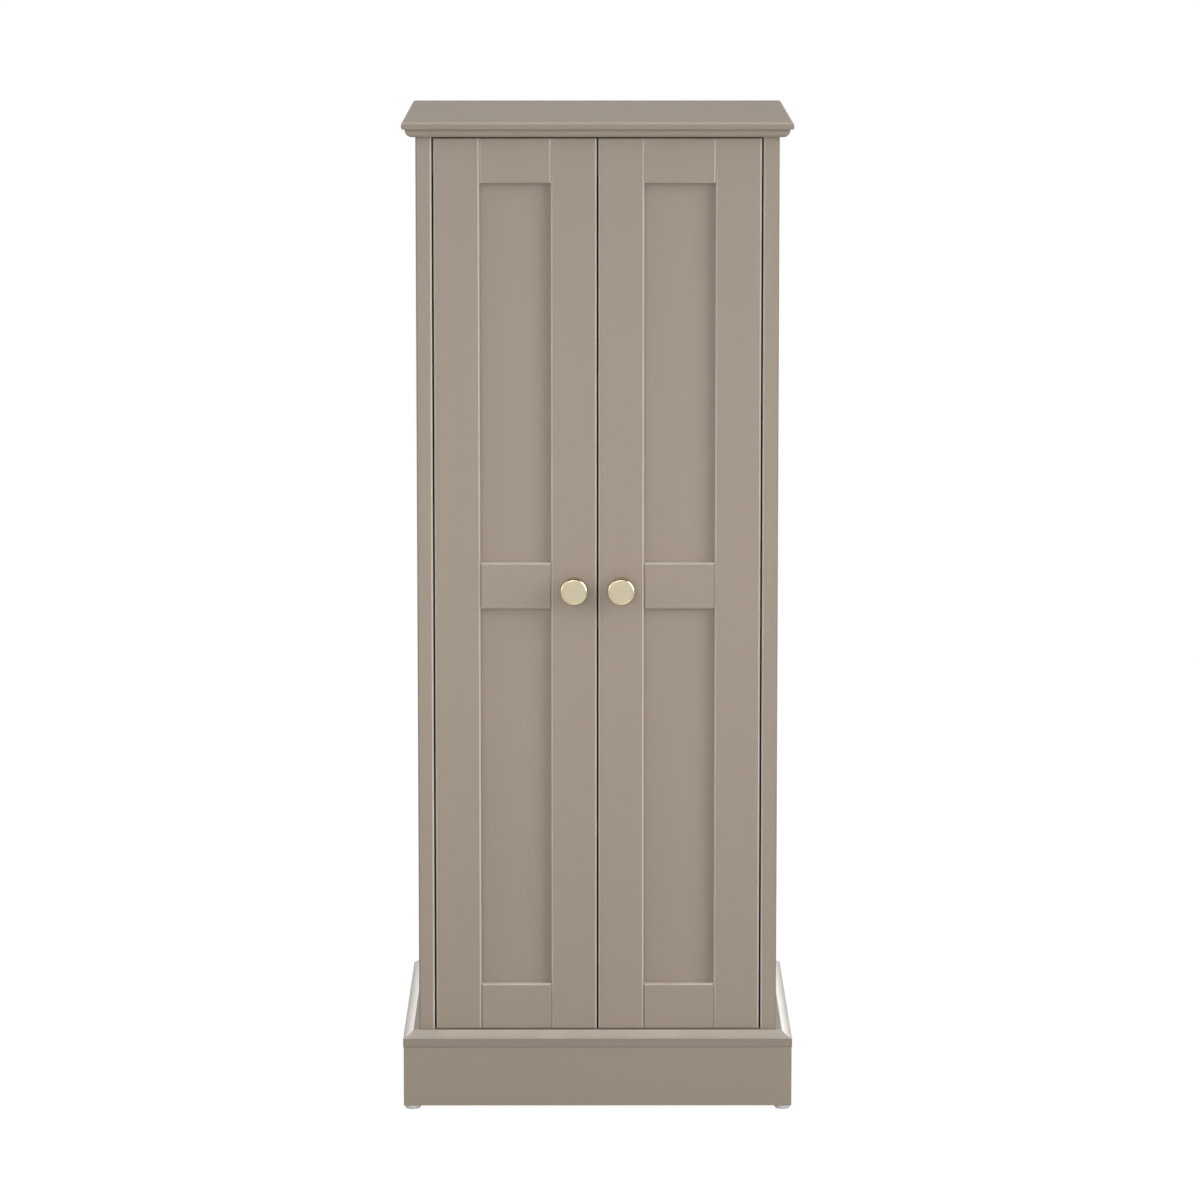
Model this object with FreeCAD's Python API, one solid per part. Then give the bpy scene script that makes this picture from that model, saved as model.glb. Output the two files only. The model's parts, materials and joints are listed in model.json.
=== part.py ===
import FreeCAD, Part
import os
from math import radians, sin

os.makedirs("parts", exist_ok=True)
V = FreeCAD.Vector

# Tall bathroom cabinet with two inset framed doors, in millimetres.
# X runs to the right, Y to the back, Z up. The origin is on the floor, under the middle of the
# whole box, knobs included.

# Carcass
overall_height = 1130.0
body_width = 409.0
body_depth = 410.0
board = 18.0
top_overhang = 15.5
base_overhang = 18.0
edge_ease = 1.8

# Moulded edge of the top board
bead_height = 9.0
bead_top_radius = 4.0
bead_bottom_radius = 2.5
bead_step = 4.0
quarter_radius = 8.5

# Moulded edge of the base board
base_ledge = 6.5
base_drop = 7.8
base_cove_sag = 0.7
base_foot_radius = 1.0

# Plinth and glides
plinth_height = 68.0
plinth_setback = 0.5
plinth_rail_inset = 22.0
block_size = 30.0
block_height = 40.0
glide_height = 5.0
glide_radius = 9.3
glide_round = 2.5
glide_inset = 10.0

# Back panel, wall rail and stretcher
back_thickness = 5.0
rebate_depth = 9.0
back_clearance = 0.5
wall_rail_height = 80.0
wall_hole_radius = 3.0
wall_hole_spacing = 240.0
stretcher_height = 45.0
stretcher_setback = 24.0

# Shelves
shelf_setback = 26.0
fixed_shelf_top = 570.0
lower_shelf_top = 330.0
upper_shelf_share = 0.5
shelf_end_clearance = 1.5
shelf_back_clearance = 0.5
pin_hole_radius = 2.5
pin_hole_depth = 10.0
pin_pitch = 32.0
pin_rows_each_way = 3
pin_front_setback = 62.0
pin_back_setback = 50.0
pin_fit = 0.05
pin_length_inside = 9.5
pin_length_outside = 9.0
pin_collar_radius = 3.6
pin_collar_thickness = 1.2

# Doors
door_gap = 2.0
door_foot_gap = 0.8
door_head_gap = 1.6
door_thickness = 20.0
stile_width = 51.5
top_rail_width = 50.0
middle_rail_width = 52.4
bottom_rail_width = 51.8
middle_rail_centre = 603.8
panel_recess = 9.0
panel_thickness = 6.0
groove_depth = 8.0
groove_fit = 0.1
panel_edge_clearance = 0.8
tongue_end_clearance = 0.5

# Knobs
knob_height = 600.0
knob_projection = 25.0
knob_radius = 15.5
knob_head_thickness = 14.0
knob_face_chamfer = 1.3
knob_back_round = 1.5
knob_neck_radius = 6.5
knob_foot_radius = 8.5
knob_foot_thickness = 2.5
knob_thread_radius = 2.0
knob_thread_depth = 12.0
knob_screw_clearance = 0.25
knob_screw_reach = 9.0
knob_screw_head_radius = 4.2
knob_screw_head_thickness = 2.2

# Concealed hinges, measured across from the door's outer edge and in from its back face
hinge_from_door_bottom = 98.0
hinge_above_fixed_shelf = 100.0
hinge_from_door_top = 100.0
cup_from_edge = 22.5
cup_radius = 17.5
cup_depth = 12.0
cup_wall = 1.2
cup_bore_fit = 0.1
cup_wing_length = 54.0
cup_wing_width = 17.0
cup_wing_thickness = 1.2
cup_screw_spacing = 45.0
cup_screw_length = 11.0
arm_pivot_offset = 1.5
arm_nose_clearance = 0.9
arm_plate = 1.5
arm_nose_radius = 2.4
arm_half_width = 5.7
arm_channel_half_width = 7.5
arm_back_end = 60.0
arm_bend_in = 22.0
arm_nose_bend_in = 7.0
link_tip_clearance = 0.5
link_end_radius = 1.9
link_pin_radius = 1.3
link_side_clearance = 0.5
pivot_fit = 0.05
plate_spine_height = 8.0
plate_spine_half_width = 5.4
plate_front_in = 18.0
plate_back_in = 56.0
plate_wing_thickness = 2.2
plate_wing_width = 14.0
plate_wing_height = 52.0
plate_screw_in = 37.0
plate_screw_pitch = 32.0
plate_screw_length = 14.0

# Magnetic catches, strike plates and bumpers
catch_width = 40.0
catch_depth = 15.0
catch_height = 12.0
catch_from_centre = 30.0
catch_screw_spacing = 28.0
catch_screw_length = 24.0
magnet_width = 14.0
magnet_height = 8.0
magnet_depth = 9.0
magnet_fit = 0.2
magnet_stand = 0.8
strike_width = 30.0
strike_height = 11.0
strike_thickness = 1.2
strike_gap = 0.3
strike_screw_length = 9.0
bumper_radius = 5.0
bumper_gap = 0.3
bumper_from_top = 22.0
bumper_spacing = 120.0

# Wooden dowels and cam fittings
dowel_radius = 4.0
dowel_short = 10.0
dowel_long = 20.0
dowel_fit = 0.1
dowel_end_clearance = 0.8
dowel_front_setback = 100.0
dowel_back_setback = 90.0
rail_dowel_shares = (0.22, 0.7)
cam_radius = 7.4
cam_depth = 12.0
cam_fit = 0.1
cam_distance = 24.0
cam_front_setback = 70.0
cam_back_setback = 60.0
cam_slot_width = 1.4
cam_slot_length = 9.0
cam_slot_depth = 2.0
bolt_thread_radius = 2.5
bolt_thread_length = 10.0
bolt_shank_radius = 2.0
bolt_head_radius = 3.0
bolt_head_length = 3.0
bolt_way_radius = 3.5

# Wood screws and nails
screw_radius = 1.8
screw_head_radius = 3.6
screw_head_depth = 2.0
screw_tip = 3.0
small_screw_radius = 1.4
small_screw_head_radius = 2.6
small_screw_head_depth = 1.0
screw_fit = 0.05
block_screw_length = 40.0
block_screw_upright_length = 50.0
block_screw_low = 12.0
block_screw_high = 28.0
block_screw_offset = 22.0
block_screw_corner = 9.0
nail_radius = 0.8
nail_head_radius = 2.0
nail_head_thickness = 0.7
nail_length = 17.0
nail_dowel_clearance = 12.2
nail_above_base = 73.0
back_nails_per_side = 7
shelf_nails = 3
nail_start_share = 0.5
glide_nail_radius = 1.2
glide_nail_head_radius = 3.6
glide_nail_head_thickness = 1.2
glide_nail_recess = 1.8
glide_nail_length = 16.0

overrun = 1.0

# Places worked out from the sizes above
front_y = (knob_projection - body_depth) / 2
back_y = front_y + body_depth
body_half = body_width / 2
inside_half = body_half - board
under_top = overall_height - board
base_bottom = glide_height + plinth_height
base_top = base_bottom + board
back_panel_y = back_y - back_thickness
door_outer_x = -inside_half + door_gap
door_inner_x = -door_gap / 2
door_bottom = base_top + door_foot_gap
door_top = under_top - door_head_gap
door_back_y = front_y + door_thickness
shelf_y = front_y + shelf_setback
stretcher_y = front_y + stretcher_setback
stretcher_bottom = under_top - stretcher_height
plinth_half = body_half + base_overhang - plinth_setback
plinth_front_y = front_y - base_overhang + plinth_setback
plinth_rail_y = back_y - plinth_rail_inset - board
groove_front_y = front_y + panel_recess
knob_x = door_inner_x - stile_width / 2
upper_shelf_top = fixed_shelf_top + (under_top - fixed_shelf_top) * upper_shelf_share
hinge_heights = (door_bottom + hinge_from_door_bottom, fixed_shelf_top + hinge_above_fixed_shelf,
                 door_top - hinge_from_door_top)
arm_pivot_across = cup_from_edge + arm_pivot_offset
arm_pivot_in = cup_wall + arm_nose_radius + arm_nose_clearance - cup_depth
link_length = cup_radius - cup_wall - arm_pivot_offset - link_end_radius - link_tip_clearance
link_half_width = arm_half_width - arm_plate - link_side_clearance

boards = {}
bores = {}
groups = {}
blocks = []


def put(name, solid):
    """Add one board; what is bored into it is cut at the end."""
    boards[name] = solid


def bore(name, *tools):
    bores.setdefault(name, []).extend(tools)


def add(name, *solids):
    """Add solids to a node of small alike pieces."""
    groups.setdefault(name, []).extend(solids)


def box(x0, x1, y0, y1, z0, z1):
    return Part.makeBox(x1 - x0, y1 - y0, z1 - z0, V(x0, y0, z0))


def rod(radius, length, start, direction):
    return Part.makeCylinder(radius, length, start, direction)


def face_of(segments):
    """A face inside lines (two points) and arcs (three points) given in order."""
    edges = []
    for points in segments:
        if len(points) == 2:
            edges.append(Part.makeLine(*points))
        else:
            edges.append(Part.Arc(*points).toShape())
    return Part.Face(Part.Wire(edges))


def polygon(points):
    return Part.Face(Part.makePolygon(list(points) + [points[0]]))


def ease_front(solid, y, sharp_heights=()):
    """Chamfer the edges of the face that lies at the plane y, apart from those at a sharp height."""
    edges = []
    for edge in solid.Edges:
        ends = [vertex.Point for vertex in edge.Vertexes]
        sharp = any(all(abs(end.z - height) < edge_ease / 2 for end in ends) for height in sharp_heights)
        if not sharp and all(abs(end.y - y) < edge_ease / 2 for end in ends):
            edges.append(edge)
    return solid.makeChamfer(edge_ease, edges)


def mirrored(shape):
    return shape.mirror(V(0, 0, 0), V(1, 0, 0))


# Fasteners

def screw(start, direction, length, radius, head_radius, head_depth, spare=0):
    """A countersunk wood screw, or with spare the hole that it sits in."""
    head = Part.makeCone(head_radius + spare, radius + spare, head_depth, start, direction)
    shank_start = start + direction * head_depth
    shank = rod(radius + spare, length - head_depth - screw_tip + spare, shank_start, direction)
    tip_start = start + direction * (length - screw_tip + spare)
    tip = Part.makeCone(radius + spare, spare, screw_tip, tip_start, direction)
    return head.fuse([shank, tip]).removeSplitter()


def wood_screw(node, into, start, direction, length):
    add(node, screw(start, direction, length, screw_radius, screw_head_radius, screw_head_depth))
    hole = screw(start, direction, length, screw_radius, screw_head_radius, screw_head_depth,
                 screw_fit)
    for name in into:
        bore(name, hole)


def small_screw(node, into, start, direction, length):
    sizes = (length, small_screw_radius, small_screw_head_radius, small_screw_head_depth)
    add(node, screw(start, direction, *sizes))
    hole = screw(start, direction, *sizes, screw_fit)
    for name in into:
        bore(name, hole)


def nail(start, direction, into):
    """A back nail whose head is let in flush with the face at start."""
    head = rod(nail_head_radius, nail_head_thickness, start, direction)
    add("back_nails", head.fuse(rod(nail_radius, nail_length, start, direction)))
    recess = rod(nail_head_radius + screw_fit, nail_head_thickness, start, direction)
    hole = recess.fuse(rod(nail_radius + screw_fit, nail_length + screw_fit, start, direction))
    for name in into:
        bore(name, hole)


def dowel(point, direction, short_board, long_board):
    """A dowel across the joint at point; direction runs into the board that takes the longer end."""
    start = point - direction * dowel_short
    add("dowels", rod(dowel_radius, dowel_short + dowel_long, start, direction))
    hole_start = start - direction * dowel_end_clearance
    hole_length = dowel_short + dowel_long + 2 * dowel_end_clearance
    hole = rod(dowel_radius + dowel_fit, hole_length, hole_start, direction)
    bore(short_board, hole)
    bore(long_board, hole)


def cam_joint(point, direction, face_point, face_normal, bolt_board, cam_board):
    """A bolt screwed into one board and held by a cam let into the face of the other."""
    centre = face_point + direction * cam_distance
    thread = rod(bolt_thread_radius, bolt_thread_length, point - direction * bolt_thread_length, direction)
    shank = rod(bolt_shank_radius, cam_distance, point, direction)
    head = rod(bolt_head_radius, bolt_head_length, point + direction * (cam_distance - bolt_head_length / 2),
               direction)
    add("cam_bolts", thread.fuse([shank, head]))
    thread_hole = rod(bolt_thread_radius + screw_fit, bolt_thread_length + screw_fit,
                      point - direction * (bolt_thread_length + screw_fit), direction)
    bore(bolt_board, thread_hole)
    way = rod(bolt_way_radius, cam_distance + bolt_head_length, point, direction)
    cam = rod(cam_radius, cam_depth, centre, -face_normal)
    slot_side = direction.cross(face_normal)
    slot = Part.makeBox(cam_slot_width, cam_slot_length, cam_slot_depth)
    slot.translate(V(-cam_slot_width / 2, -cam_slot_length / 2, -cam_slot_depth))
    turn = FreeCAD.Matrix(slot_side.x, direction.x, face_normal.x, centre.x,
                          slot_side.y, direction.y, face_normal.y, centre.y,
                          slot_side.z, direction.z, face_normal.z, centre.z,
                          0, 0, 0, 1)
    slot.transformShape(turn)
    add("cam_locks", cam.cut([way, slot]))
    bore(cam_board, way, rod(cam_radius + cam_fit, cam_depth + cam_fit, centre, -face_normal))


# Top board and base board

def top_edge(place):
    """The moulded edge of the top board, from the top face down to the underside."""
    nose = top_overhang
    step = nose - bead_step
    top = overall_height
    seam = top - bead_height
    turn = sin(radians(45))
    round_in = nose - bead_top_radius
    round_out = nose - bead_bottom_radius
    return [
        (place(round_in, top), place(round_in + bead_top_radius * turn, top - bead_top_radius * (1 - turn)),
         place(nose, top - bead_top_radius)),
        (place(nose, top - bead_top_radius), place(nose, seam + bead_bottom_radius)),
        (place(nose, seam + bead_bottom_radius),
         place(round_out + bead_bottom_radius * turn, seam + bead_bottom_radius * (1 - turn)),
         place(round_out, seam)),
        (place(round_out, seam), place(step, seam)),
        (place(step, seam), place(step, under_top + quarter_radius)),
        (place(step, under_top + quarter_radius),
         place(step - quarter_radius * (1 - turn), under_top + quarter_radius * (1 - turn)),
         place(step - quarter_radius, under_top)),
    ]


def base_edge(place):
    """The sloped and shallowly hollowed edge of the base board."""
    low = base_top - base_drop
    middle = place((base_ledge + base_overhang) / 2 - base_cove_sag, (base_top + low) / 2 - base_cove_sag)
    turn = sin(radians(45))
    foot = base_bottom + base_foot_radius
    foot_out = base_overhang - base_foot_radius
    return [
        (place(base_ledge, base_top), middle, place(base_overhang, low)),
        (place(base_overhang, low), place(base_overhang, foot)),
        (place(base_overhang, foot),
         place(foot_out + base_foot_radius * turn, foot - base_foot_radius * turn),
         place(foot_out, base_bottom)),
    ]


def moulded_board(edge):
    """A board moulded on its front and both sides: two mouldings crossed, so the corners mitre."""
    front = edge(lambda out, z: V(0, front_y - out, z))
    back_top = V(0, back_y, front[0][0].z)
    back_foot = V(0, back_y, front[-1][-1].z)
    front_face = face_of([(back_top, front[0][0])] + front + [(front[-1][-1], back_foot), (back_foot, back_top)])
    reach = body_half + max(top_overhang, base_overhang) + overrun
    along = front_face.extrude(V(2 * reach, 0, 0))
    along.translate(V(-reach, 0, 0))

    right = edge(lambda out, z: V(body_half + out, 0, z))
    left = [tuple(reversed(points)) for points in edge(lambda out, z: V(-body_half - out, 0, z))]
    left.reverse()
    across_face = face_of([(left[-1][-1], right[0][0])] + right + [(right[-1][-1], left[0][0])] + left)
    across = across_face.extrude(V(0, 2 * body_depth, 0))
    across.translate(V(0, -body_depth, 0))
    return along.common(across).removeSplitter()


def make_top_and_base():
    put("top_board", moulded_board(top_edge))
    put("base_board", moulded_board(base_edge))


# Sides, back, rails and shelves

def make_side_panels():
    panel = box(-body_half, -inside_half, front_y, back_y, base_top, under_top)
    arrises = []
    for edge in panel.Edges:
        ends = [vertex.Point for vertex in edge.Vertexes]
        upright = abs(ends[0].z - ends[1].z) > board
        if upright and abs(ends[0].y - front_y) < edge_ease:
            arrises.append(edge)
    panel = panel.makeChamfer(edge_ease, arrises)
    rebate = box(-inside_half - rebate_depth, -inside_half + overrun, back_panel_y, back_y + overrun,
                 base_top - overrun, under_top + overrun)
    panel = panel.cut(rebate)
    put("left_side_panel", panel)
    put("right_side_panel", mirrored(panel))


def make_back_panel():
    half = inside_half + rebate_depth - back_clearance
    put("back_panel", box(-half, half, back_panel_y, back_y,
                          base_top + back_clearance, under_top - back_clearance))


def make_rails():
    put("wall_rail", box(-inside_half, inside_half, back_panel_y - board, back_panel_y,
                         under_top - wall_rail_height, under_top))
    put("front_stretcher", box(-inside_half, inside_half, stretcher_y, stretcher_y + board,
                               stretcher_bottom, under_top))
    hole_z = under_top - wall_rail_height / 2
    for side in (-1, 1):
        start = V(side * wall_hole_spacing / 2, back_panel_y - board - overrun, hole_z)
        hole = rod(wall_hole_radius, board + back_thickness + 2 * overrun, start, V(0, 1, 0))
        bore("wall_rail", hole)
        bore("back_panel", hole)


def make_shelves():
    put("fixed_shelf", box(-inside_half, inside_half, shelf_y, back_panel_y,
                           fixed_shelf_top - board, fixed_shelf_top))
    half = inside_half - shelf_end_clearance
    for name, top in (("lower_shelf", lower_shelf_top), ("upper_shelf", upper_shelf_top)):
        shelf = box(-half, half, shelf_y, back_panel_y - shelf_back_clearance, top - board, top)
        put(name, ease_front(shelf, shelf_y))
        make_pin_holes(top - board - pin_hole_radius + pin_fit)


def make_pin_holes(pin_z):
    """Rows of holes in both side panels, with a pin in the middle hole of each row."""
    rows = range(-pin_rows_each_way, pin_rows_each_way + 1)
    for side, panel in ((-1, "left_side_panel"), (1, "right_side_panel")):
        inward = V(-side, 0, 0)
        for y in (shelf_y + pin_front_setback, back_panel_y - pin_back_setback):
            face = V(side * inside_half, y, pin_z)
            for row in rows:
                hole_face = face + V(0, 0, row * pin_pitch)
                bore(panel, rod(pin_hole_radius, pin_hole_depth + overrun, hole_face + inward * overrun, -inward))
            peg = rod(pin_hole_radius - pin_fit, pin_length_inside + pin_length_outside,
                      face - inward * pin_length_inside, inward)
            collar = rod(pin_collar_radius, pin_collar_thickness, face, inward)
            add("shelf_pins", peg.fuse(collar))


# Plinth

def make_plinth():
    front_inner_y = plinth_front_y + board
    inner_half = plinth_half - board
    front_plan = [V(-plinth_half, plinth_front_y, glide_height), V(plinth_half, plinth_front_y, glide_height),
                  V(inner_half, front_inner_y, glide_height), V(-inner_half, front_inner_y, glide_height)]
    put("plinth_front", polygon(front_plan).extrude(V(0, 0, plinth_height)))
    side_plan = [V(-plinth_half, plinth_front_y, glide_height), V(-inner_half, front_inner_y, glide_height),
                 V(-inner_half, back_y, glide_height), V(-plinth_half, back_y, glide_height)]
    side_board = polygon(side_plan).extrude(V(0, 0, plinth_height))
    put("plinth_left", side_board)
    put("plinth_right", mirrored(side_board))
    put("plinth_back", box(-inner_half, inner_half, plinth_rail_y, plinth_rail_y + board,
                           glide_height, base_bottom))
    make_plinth_blocks(inner_half, front_inner_y)


def make_plinth_blocks(inner_half, front_inner_y):
    """Four glued and screwed corner blocks under the base board."""
    low = base_bottom - block_height
    for side, side_board in ((-1, "plinth_left"), (1, "plinth_right")):
        for corner_y, inward, end_board in ((front_inner_y, 1, "plinth_front"), (plinth_rail_y, -1, "plinth_back")):
            corner_x = side * inner_half
            xs = sorted((corner_x, corner_x - side * block_size))
            ys = sorted((corner_y, corner_y + inward * block_size))
            name = "block_%d_%d" % (side, inward)
            put(name, box(xs[0], xs[1], ys[0], ys[1], low, base_bottom))
            blocks.append(name)
            side_start = V(corner_x - side * block_size, corner_y + inward * block_screw_offset,
                           low + block_screw_high)
            wood_screw("plinth_screws", (name, side_board), side_start, V(side, 0, 0), block_screw_length)
            end_start = V(corner_x - side * block_screw_offset, corner_y + inward * block_size,
                          low + block_screw_low)
            wood_screw("plinth_screws", (name, end_board), end_start, V(0, -inward, 0), block_screw_length)
            up_start = V(corner_x - side * block_screw_corner, corner_y + inward * block_screw_corner, low)
            wood_screw("plinth_screws", (name, "base_board"), up_start, V(0, 0, 1), block_screw_upright_length)


def make_glides():
    for side, side_board in ((-1, "plinth_left"), (1, "plinth_right")):
        for y in (plinth_front_y + glide_inset, back_y - glide_inset):
            centre = V(side * (plinth_half - glide_inset), y, 0)
            glide = rod(glide_radius, glide_height, centre, V(0, 0, 1))
            foot = [edge for edge in glide.Edges if edge.BoundBox.ZMax < glide_round]
            glide = glide.makeFillet(glide_round, foot)
            recess = rod(glide_nail_head_radius + screw_fit, glide_nail_recess + overrun,
                         centre - V(0, 0, overrun), V(0, 0, 1))
            head_foot = centre + V(0, 0, glide_nail_recess - glide_nail_head_thickness)
            head = rod(glide_nail_head_radius, glide_nail_head_thickness, head_foot, V(0, 0, 1))
            seat = centre + V(0, 0, glide_nail_recess)
            nail_hole = rod(glide_nail_radius + screw_fit, glide_nail_length + screw_fit, seat, V(0, 0, 1))
            add("foot_glides", glide.cut([recess, nail_hole]))
            add("glide_nails", head.fuse(rod(glide_nail_radius, glide_nail_length, seat, V(0, 0, 1))))
            bore(side_board, nail_hole)
            bore("plinth_front", nail_hole)


# Dowels, cam fittings and back nails

def make_board_joints():
    dowel_ys = (front_y + dowel_front_setback, back_y - dowel_back_setback)
    cam_ys = (front_y + cam_front_setback, back_y - cam_back_setback)
    middle_x = inside_half + board / 2
    shelf_mid_z = fixed_shelf_top - board / 2
    for side, panel in ((-1, "left_side_panel"), (1, "right_side_panel")):
        outward = V(side, 0, 0)
        for y in dowel_ys:
            dowel(V(side * middle_x, y, under_top), V(0, 0, -1), "top_board", panel)
            dowel(V(side * middle_x, y, base_top), V(0, 0, 1), "base_board", panel)
            dowel(V(side * inside_half, y, shelf_mid_z), -outward, panel, "fixed_shelf")
        for y in cam_ys:
            inner = side * inside_half
            cam_joint(V(side * middle_x, y, under_top), V(0, 0, -1), V(inner, y, under_top), -outward,
                      "top_board", panel)
            cam_joint(V(side * middle_x, y, base_top), V(0, 0, 1), V(inner, y, base_top), -outward,
                      "base_board", panel)
            cam_joint(V(inner, y, shelf_mid_z), -outward, V(inner, y, fixed_shelf_top - board), V(0, 0, -1),
                      panel, "fixed_shelf")
        rail_y = back_panel_y - board / 2
        stretcher_mid_y = stretcher_y + board / 2
        for share in rail_dowel_shares:
            rail_z = under_top - wall_rail_height * share
            dowel(V(side * inside_half, rail_y, rail_z), -outward, panel, "wall_rail")
            stretcher_z = under_top - stretcher_height * share
            dowel(V(side * inside_half, stretcher_mid_y, stretcher_z), -outward, panel, "front_stretcher")


def make_back_nails():
    forward = V(0, -1, 0)
    nail_x = inside_half + rebate_depth / 2
    low = base_top + nail_above_base
    rail_dowel_z = under_top - wall_rail_height * max(rail_dowel_shares)
    high = rail_dowel_z - dowel_radius - nail_radius - nail_dowel_clearance
    for side, panel in ((-1, "left_side_panel"), (1, "right_side_panel")):
        for i in range(back_nails_per_side):
            z = low + (high - low) * i / (back_nails_per_side - 1)
            nail(V(side * nail_x, back_y, z), forward, ("back_panel", panel))
    for i in range(shelf_nails):
        x = -inside_half + 2 * inside_half * (i + nail_start_share) / shelf_nails
        nail(V(x, back_y, fixed_shelf_top - board / 2), forward, ("back_panel", "fixed_shelf"))


# Left door; the right one is its mirror image

def stile(x0, x1, grooved_x, inward):
    blank = box(x0, x1, front_y, door_back_y, door_bottom, door_top)
    piece = ease_front(blank, front_y, (door_bottom, door_top))
    groove_xs = sorted((grooved_x + inward * overrun, grooved_x - inward * groove_depth))
    groove = box(groove_xs[0], groove_xs[1], groove_front_y, groove_front_y + panel_thickness + 2 * groove_fit,
                 door_bottom - overrun, door_top + overrun)
    return piece.cut(groove)


def rail(z0, z1, groove_below, groove_above):
    """A rail between the stiles, with a tongue at each end and a groove for each panel it holds."""
    x0 = door_outer_x + stile_width
    x1 = door_inner_x - stile_width
    piece = ease_front(box(x0, x1, front_y, door_back_y, z0, z1), front_y, (door_bottom, door_top))
    tongue_reach = groove_depth - tongue_end_clearance
    tongue = box(x0 - tongue_reach, x1 + tongue_reach, groove_front_y + groove_fit,
                 groove_front_y + groove_fit + panel_thickness, z0, z1)
    piece = piece.fuse(tongue).removeSplitter()
    groove_y = (groove_front_y, groove_front_y + panel_thickness + 2 * groove_fit)
    ends = (x0 - groove_depth - overrun, x1 + groove_depth + overrun)
    if groove_below:
        piece = piece.cut(box(ends[0], ends[1], groove_y[0], groove_y[1], z0 - overrun, z0 + groove_depth))
    if groove_above:
        piece = piece.cut(box(ends[0], ends[1], groove_y[0], groove_y[1], z1 - groove_depth, z1 + overrun))
    return piece


def door_panel(z0, z1):
    reach = groove_depth - panel_edge_clearance
    y0 = groove_front_y + groove_fit
    return box(door_outer_x + stile_width - reach, door_inner_x - stile_width + reach,
               y0, y0 + panel_thickness, z0 - reach, z1 + reach)


def make_door():
    middle_low = middle_rail_centre - middle_rail_width / 2
    middle_high = middle_rail_centre + middle_rail_width / 2
    top_low = door_top - top_rail_width
    bottom_high = door_bottom + bottom_rail_width
    put("left_door_hinge_stile", stile(door_outer_x, door_outer_x + stile_width, door_outer_x + stile_width, 1))
    put("left_door_meeting_stile", stile(door_inner_x - stile_width, door_inner_x, door_inner_x - stile_width, -1))
    put("left_door_top_rail", rail(top_low, door_top, True, False))
    put("left_door_middle_rail", rail(middle_low, middle_high, True, True))
    put("left_door_bottom_rail", rail(door_bottom, bottom_high, False, True))
    put("left_door_upper_panel", door_panel(middle_high, top_low))
    put("left_door_lower_panel", door_panel(bottom_high, middle_low))
    make_knob()
    make_cups()
    make_strike_and_bumpers()


def make_knob():
    """A flat-faced round knob turned on its axis, with a screw through the stile."""
    face_y = front_y - knob_projection
    head_back_y = face_y + knob_head_thickness
    foot_y = front_y - knob_foot_thickness
    turn = sin(radians(45))
    x = knob_x
    z = knob_height

    def at(radius, y):
        return V(x + radius, y, z)

    round_mid = at(knob_radius - knob_back_round * (1 - turn), head_back_y - knob_back_round * (1 - turn))
    outline = [
        (at(0, face_y), at(knob_radius - knob_face_chamfer, face_y)),
        (at(knob_radius - knob_face_chamfer, face_y), at(knob_radius, face_y + knob_face_chamfer)),
        (at(knob_radius, face_y + knob_face_chamfer), at(knob_radius, head_back_y - knob_back_round)),
        (at(knob_radius, head_back_y - knob_back_round), round_mid, at(knob_radius - knob_back_round, head_back_y)),
        (at(knob_radius - knob_back_round, head_back_y), at(knob_neck_radius, head_back_y)),
        (at(knob_neck_radius, head_back_y), at(knob_neck_radius, foot_y)),
        (at(knob_neck_radius, foot_y), at(knob_foot_radius, foot_y)),
        (at(knob_foot_radius, foot_y), at(knob_foot_radius, front_y)),
        (at(knob_foot_radius, front_y), at(0, front_y)),
        (at(0, front_y), at(0, face_y)),
    ]
    knob = face_of(outline).revolve(V(x, 0, z), V(0, 1, 0), 360)
    thread = rod(knob_thread_radius + screw_fit, knob_thread_depth + overrun, at(0, front_y + overrun), V(0, -1, 0))
    put("left_knob", knob.cut(thread))
    shank = rod(knob_thread_radius, door_thickness + knob_screw_reach, at(0, door_back_y), V(0, -1, 0))
    head = rod(knob_screw_head_radius, knob_screw_head_thickness, at(0, door_back_y), V(0, 1, 0))
    put("left_knob_screw", head.fuse(shank))
    bore("left_door_meeting_stile", rod(knob_thread_radius + knob_screw_clearance, door_thickness + 2 * overrun,
                                        at(0, door_back_y + overrun), V(0, -1, 0)))


def make_strike_and_bumpers():
    z = stretcher_bottom - catch_height / 2
    x = -catch_from_centre
    plate = box(x - strike_width / 2, x + strike_width / 2, door_back_y, door_back_y + strike_thickness,
                z - strike_height / 2, z + strike_height / 2)
    put("left_strike_plate", plate)
    small_screw("left_strike_screw", ("left_strike_plate", "left_door_meeting_stile"),
                V(x, door_back_y + strike_thickness, z), V(0, -1, 0), strike_screw_length)
    bumper_thickness = stretcher_setback - door_thickness - bumper_gap
    for offset in (0, bumper_spacing):
        start = V(knob_x - offset, door_back_y, door_top - bumper_from_top)
        add("left_bumpers", rod(bumper_radius, bumper_thickness, start, V(0, 1, 0)))


# Concealed hinges of the left door, placed from its outer edge and its back face

def hinge_at(across, inward, z):
    return V(door_outer_x + across, door_back_y + inward, z)


def hinge_prism(points, z0, z1):
    """A prism on an outline of (across, inward) points, between two heights."""
    return polygon([hinge_at(across, inward, z0) for across, inward in points]).extrude(V(0, 0, z1 - z0))


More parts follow.
